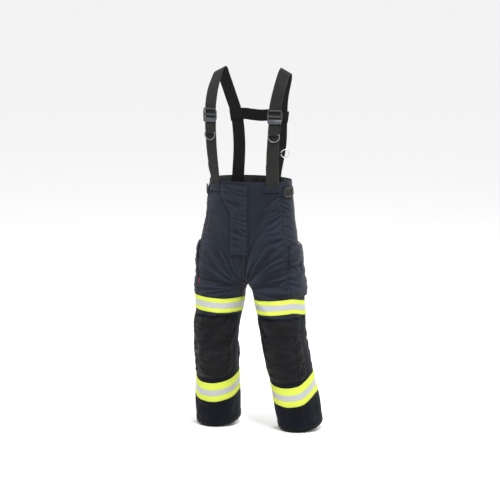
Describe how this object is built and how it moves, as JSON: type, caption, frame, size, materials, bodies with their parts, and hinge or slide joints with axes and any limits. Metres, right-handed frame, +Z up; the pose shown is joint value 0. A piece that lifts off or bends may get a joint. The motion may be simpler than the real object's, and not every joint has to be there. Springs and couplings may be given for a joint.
{
  "type": "bunker pants",
  "caption": "High-waisted firefighter's trousers with fluorescent and silver leg bands, black knee patches, side pockets, a front fly and an H-back pair of webbing shoulder straps.",
  "frame": {"origin": "centre of the waist opening, at the top edge of the waistband, where the wearer's waist holds the trousers", "axes": "+Z up, +X to the wearer's left, -Y to the front"},
  "size_m": [0.555, 0.3701, 1.5271],
  "materials": {
    "shell_fabric": "matte",
    "waistband_fabric": "matte",
    "liner_fabric": "matte",
    "trim_tape": "matte",
    "reflective_tape": "satin",
    "patch_leather": "satin",
    "knee_padding": "matte",
    "cuff_binding": "matte",
    "webbing": "matte",
    "strap_buckle_plastic": "satin",
    "waist_buckle_plastic": "satin",
    "ring_steel": "satin",
    "zip_metal": "satin",
    "red_tape": "matte"
  },
  "bodies": {
    "seat": {"front_panel_left": "shell_fabric", "front_panel_right": "shell_fabric", "back_panel_left": "shell_fabric", "back_panel_right": "shell_fabric", "waistband_left": "waistband_fabric", "waistband_right": "waistband_fabric", "seat_liner_left": "liner_fabric", "seat_liner_right": "liner_fabric", "hip_fold_left": "shell_fabric", "hip_fold_right": "shell_fabric", "side_pocket_left": "shell_fabric", "side_pocket_right": "shell_fabric", "red_tab": "red_tape", "fly_underlap": "liner_fabric", "zip_chain": "zip_metal", "waist_snap_stud": "ring_steel", "waist_tab_left": "webbing", "waist_tab_right": "webbing", "front_strap_left": "webbing", "front_strap_right": "webbing", "shoulder_strap_left": "webbing", "shoulder_strap_right": "webbing", "cross_strap": "webbing", "accessory_loop": "webbing"},
    "left_thigh": {"thigh_shell_left": "shell_fabric", "trim_thigh_left": "trim_tape", "reflector_thigh_left": "reflective_tape", "knee_fold_left": "shell_fabric", "knee_patch_left": "patch_leather", "knee_pad_left": "knee_padding"},
    "left_shin": {"shin_shell_left": "shell_fabric", "shin_liner_left": "liner_fabric", "trim_shin_left": "trim_tape", "reflector_shin_left": "reflective_tape", "hem_cuff_left": "cuff_binding"},
    "left_pocket_flap": {"pocket_flap_left": "shell_fabric"},
    "left_strap_lock": {"strap_lock_left": "strap_buckle_plastic"},
    "left_strap_tail": {"strap_tail_left": "webbing"},
    "left_dee_ring": {"dee_ring_left": "ring_steel"},
    "left_waist_buckle": {"waist_buckle_left": "waist_buckle_plastic"},
    "right_thigh": {"thigh_shell_right": "shell_fabric", "trim_thigh_right": "trim_tape", "reflector_thigh_right": "reflective_tape", "knee_fold_right": "shell_fabric", "knee_patch_right": "patch_leather", "knee_pad_right": "knee_padding"},
    "right_shin": {"shin_shell_right": "shell_fabric", "shin_liner_right": "liner_fabric", "trim_shin_right": "trim_tape", "reflector_shin_right": "reflective_tape", "hem_cuff_right": "cuff_binding"},
    "right_pocket_flap": {"pocket_flap_right": "shell_fabric"},
    "right_strap_lock": {"strap_lock_right": "strap_buckle_plastic"},
    "right_strap_tail": {"strap_tail_right": "webbing"},
    "right_dee_ring": {"dee_ring_right": "ring_steel"},
    "right_waist_buckle": {"waist_buckle_right": "waist_buckle_plastic"},
    "fly_flap": {"fly_flap": "shell_fabric", "waist_snap_socket": "ring_steel"},
    "zip_slider": {"zip_slider": "ring_steel"},
    "accessory_ring": {"accessory_ring": "ring_steel"}
  },
  "joints": [
    {"name": "left_hip", "type": "hinge", "parent": "seat", "child": "left_thigh", "pos_m": [0.114, -0.02, -0.35], "axis": [-1, 0, 0], "range_deg": [-12, 60], "deforming": ["hip_fold_left", "side_pocket_left"]},
    {"name": "left_knee", "type": "hinge", "parent": "left_thigh", "child": "left_shin", "pos_m": [0.15248, -0.01338, -0.691], "axis": [1, 0, 0], "range_deg": [0, 70], "deforming": ["knee_fold_left", "knee_patch_left", "knee_pad_left"]},
    {"name": "left_pocket_flap_lift", "type": "hinge", "parent": "seat", "child": "left_pocket_flap", "pos_m": [0.22016, -0.0231, -0.273], "axis": [0, -1, 0], "range_deg": [0, 110]},
    {"name": "left_strap_lock_tilt", "type": "hinge", "parent": "seat", "child": "left_strap_lock", "pos_m": [0.14046, -0.11882, 0.2972], "axis": [-0.984, -0.178, 0], "range_deg": [0, 40]},
    {"name": "left_strap_pull", "type": "slide", "parent": "seat", "child": "left_strap_tail", "axis": [-0.0634, -0.0318, -0.9975], "range_m": [0, 0.03]},
    {"name": "left_dee_ring_swing", "type": "hinge", "parent": "left_strap_tail", "child": "left_dee_ring", "pos_m": [0.13812, -0.12589, 0.20014], "axis": [-0.9789, -0.2042, 0], "range_deg": [0, 100]},
    {"name": "left_waist_buckle_tilt", "type": "hinge", "parent": "seat", "child": "left_waist_buckle", "pos_m": [0.18587, -0.02954, -0.045], "axis": [0, 0, 1], "range_deg": [0, 35]},
    {"name": "right_hip", "type": "hinge", "parent": "seat", "child": "right_thigh", "pos_m": [-0.114, -0.02, -0.35], "axis": [-1, 0, 0], "range_deg": [-12, 60], "deforming": ["hip_fold_right", "side_pocket_right"]},
    {"name": "right_knee", "type": "hinge", "parent": "right_thigh", "child": "right_shin", "pos_m": [-0.15248, -0.01338, -0.691], "axis": [1, 0, 0], "range_deg": [0, 70], "deforming": ["knee_fold_right", "knee_patch_right", "knee_pad_right"]},
    {"name": "right_pocket_flap_lift", "type": "hinge", "parent": "seat", "child": "right_pocket_flap", "pos_m": [-0.22016, -0.0231, -0.273], "axis": [0, 1, 0], "range_deg": [0, 110]},
    {"name": "right_strap_lock_tilt", "type": "hinge", "parent": "seat", "child": "right_strap_lock", "pos_m": [-0.14046, -0.11882, 0.2972], "axis": [-0.984, 0.178, 0], "range_deg": [0, 40]},
    {"name": "right_strap_pull", "type": "slide", "parent": "seat", "child": "right_strap_tail", "axis": [0.0634, -0.0318, -0.9975], "range_m": [0, 0.03]},
    {"name": "right_dee_ring_swing", "type": "hinge", "parent": "right_strap_tail", "child": "right_dee_ring", "pos_m": [-0.13812, -0.12589, 0.20014], "axis": [-0.9789, 0.2042, 0], "range_deg": [0, 100]},
    {"name": "right_waist_buckle_tilt", "type": "hinge", "parent": "seat", "child": "right_waist_buckle", "pos_m": [-0.18587, -0.02954, -0.045], "axis": [0, 0, -1], "range_deg": [0, 35]},
    {"name": "fly_flap_open", "type": "hinge", "parent": "seat", "child": "fly_flap", "pos_m": [0.028, -0.14767, -0.1295], "axis": [0, 0.1144, 0.9934], "range_deg": [0, 125]},
    {"name": "zip_slide", "type": "slide", "parent": "seat", "child": "zip_slider", "axis": [0, -0.1144, -0.9934], "range_m": [0, 0.19]},
    {"name": "accessory_ring_swing", "type": "hinge", "parent": "seat", "child": "accessory_ring", "pos_m": [0.16511, -0.11062, 0.12493], "axis": [0.0693, -0.0647, 0.9955], "range_deg": [-60, 60]}
  ]
}
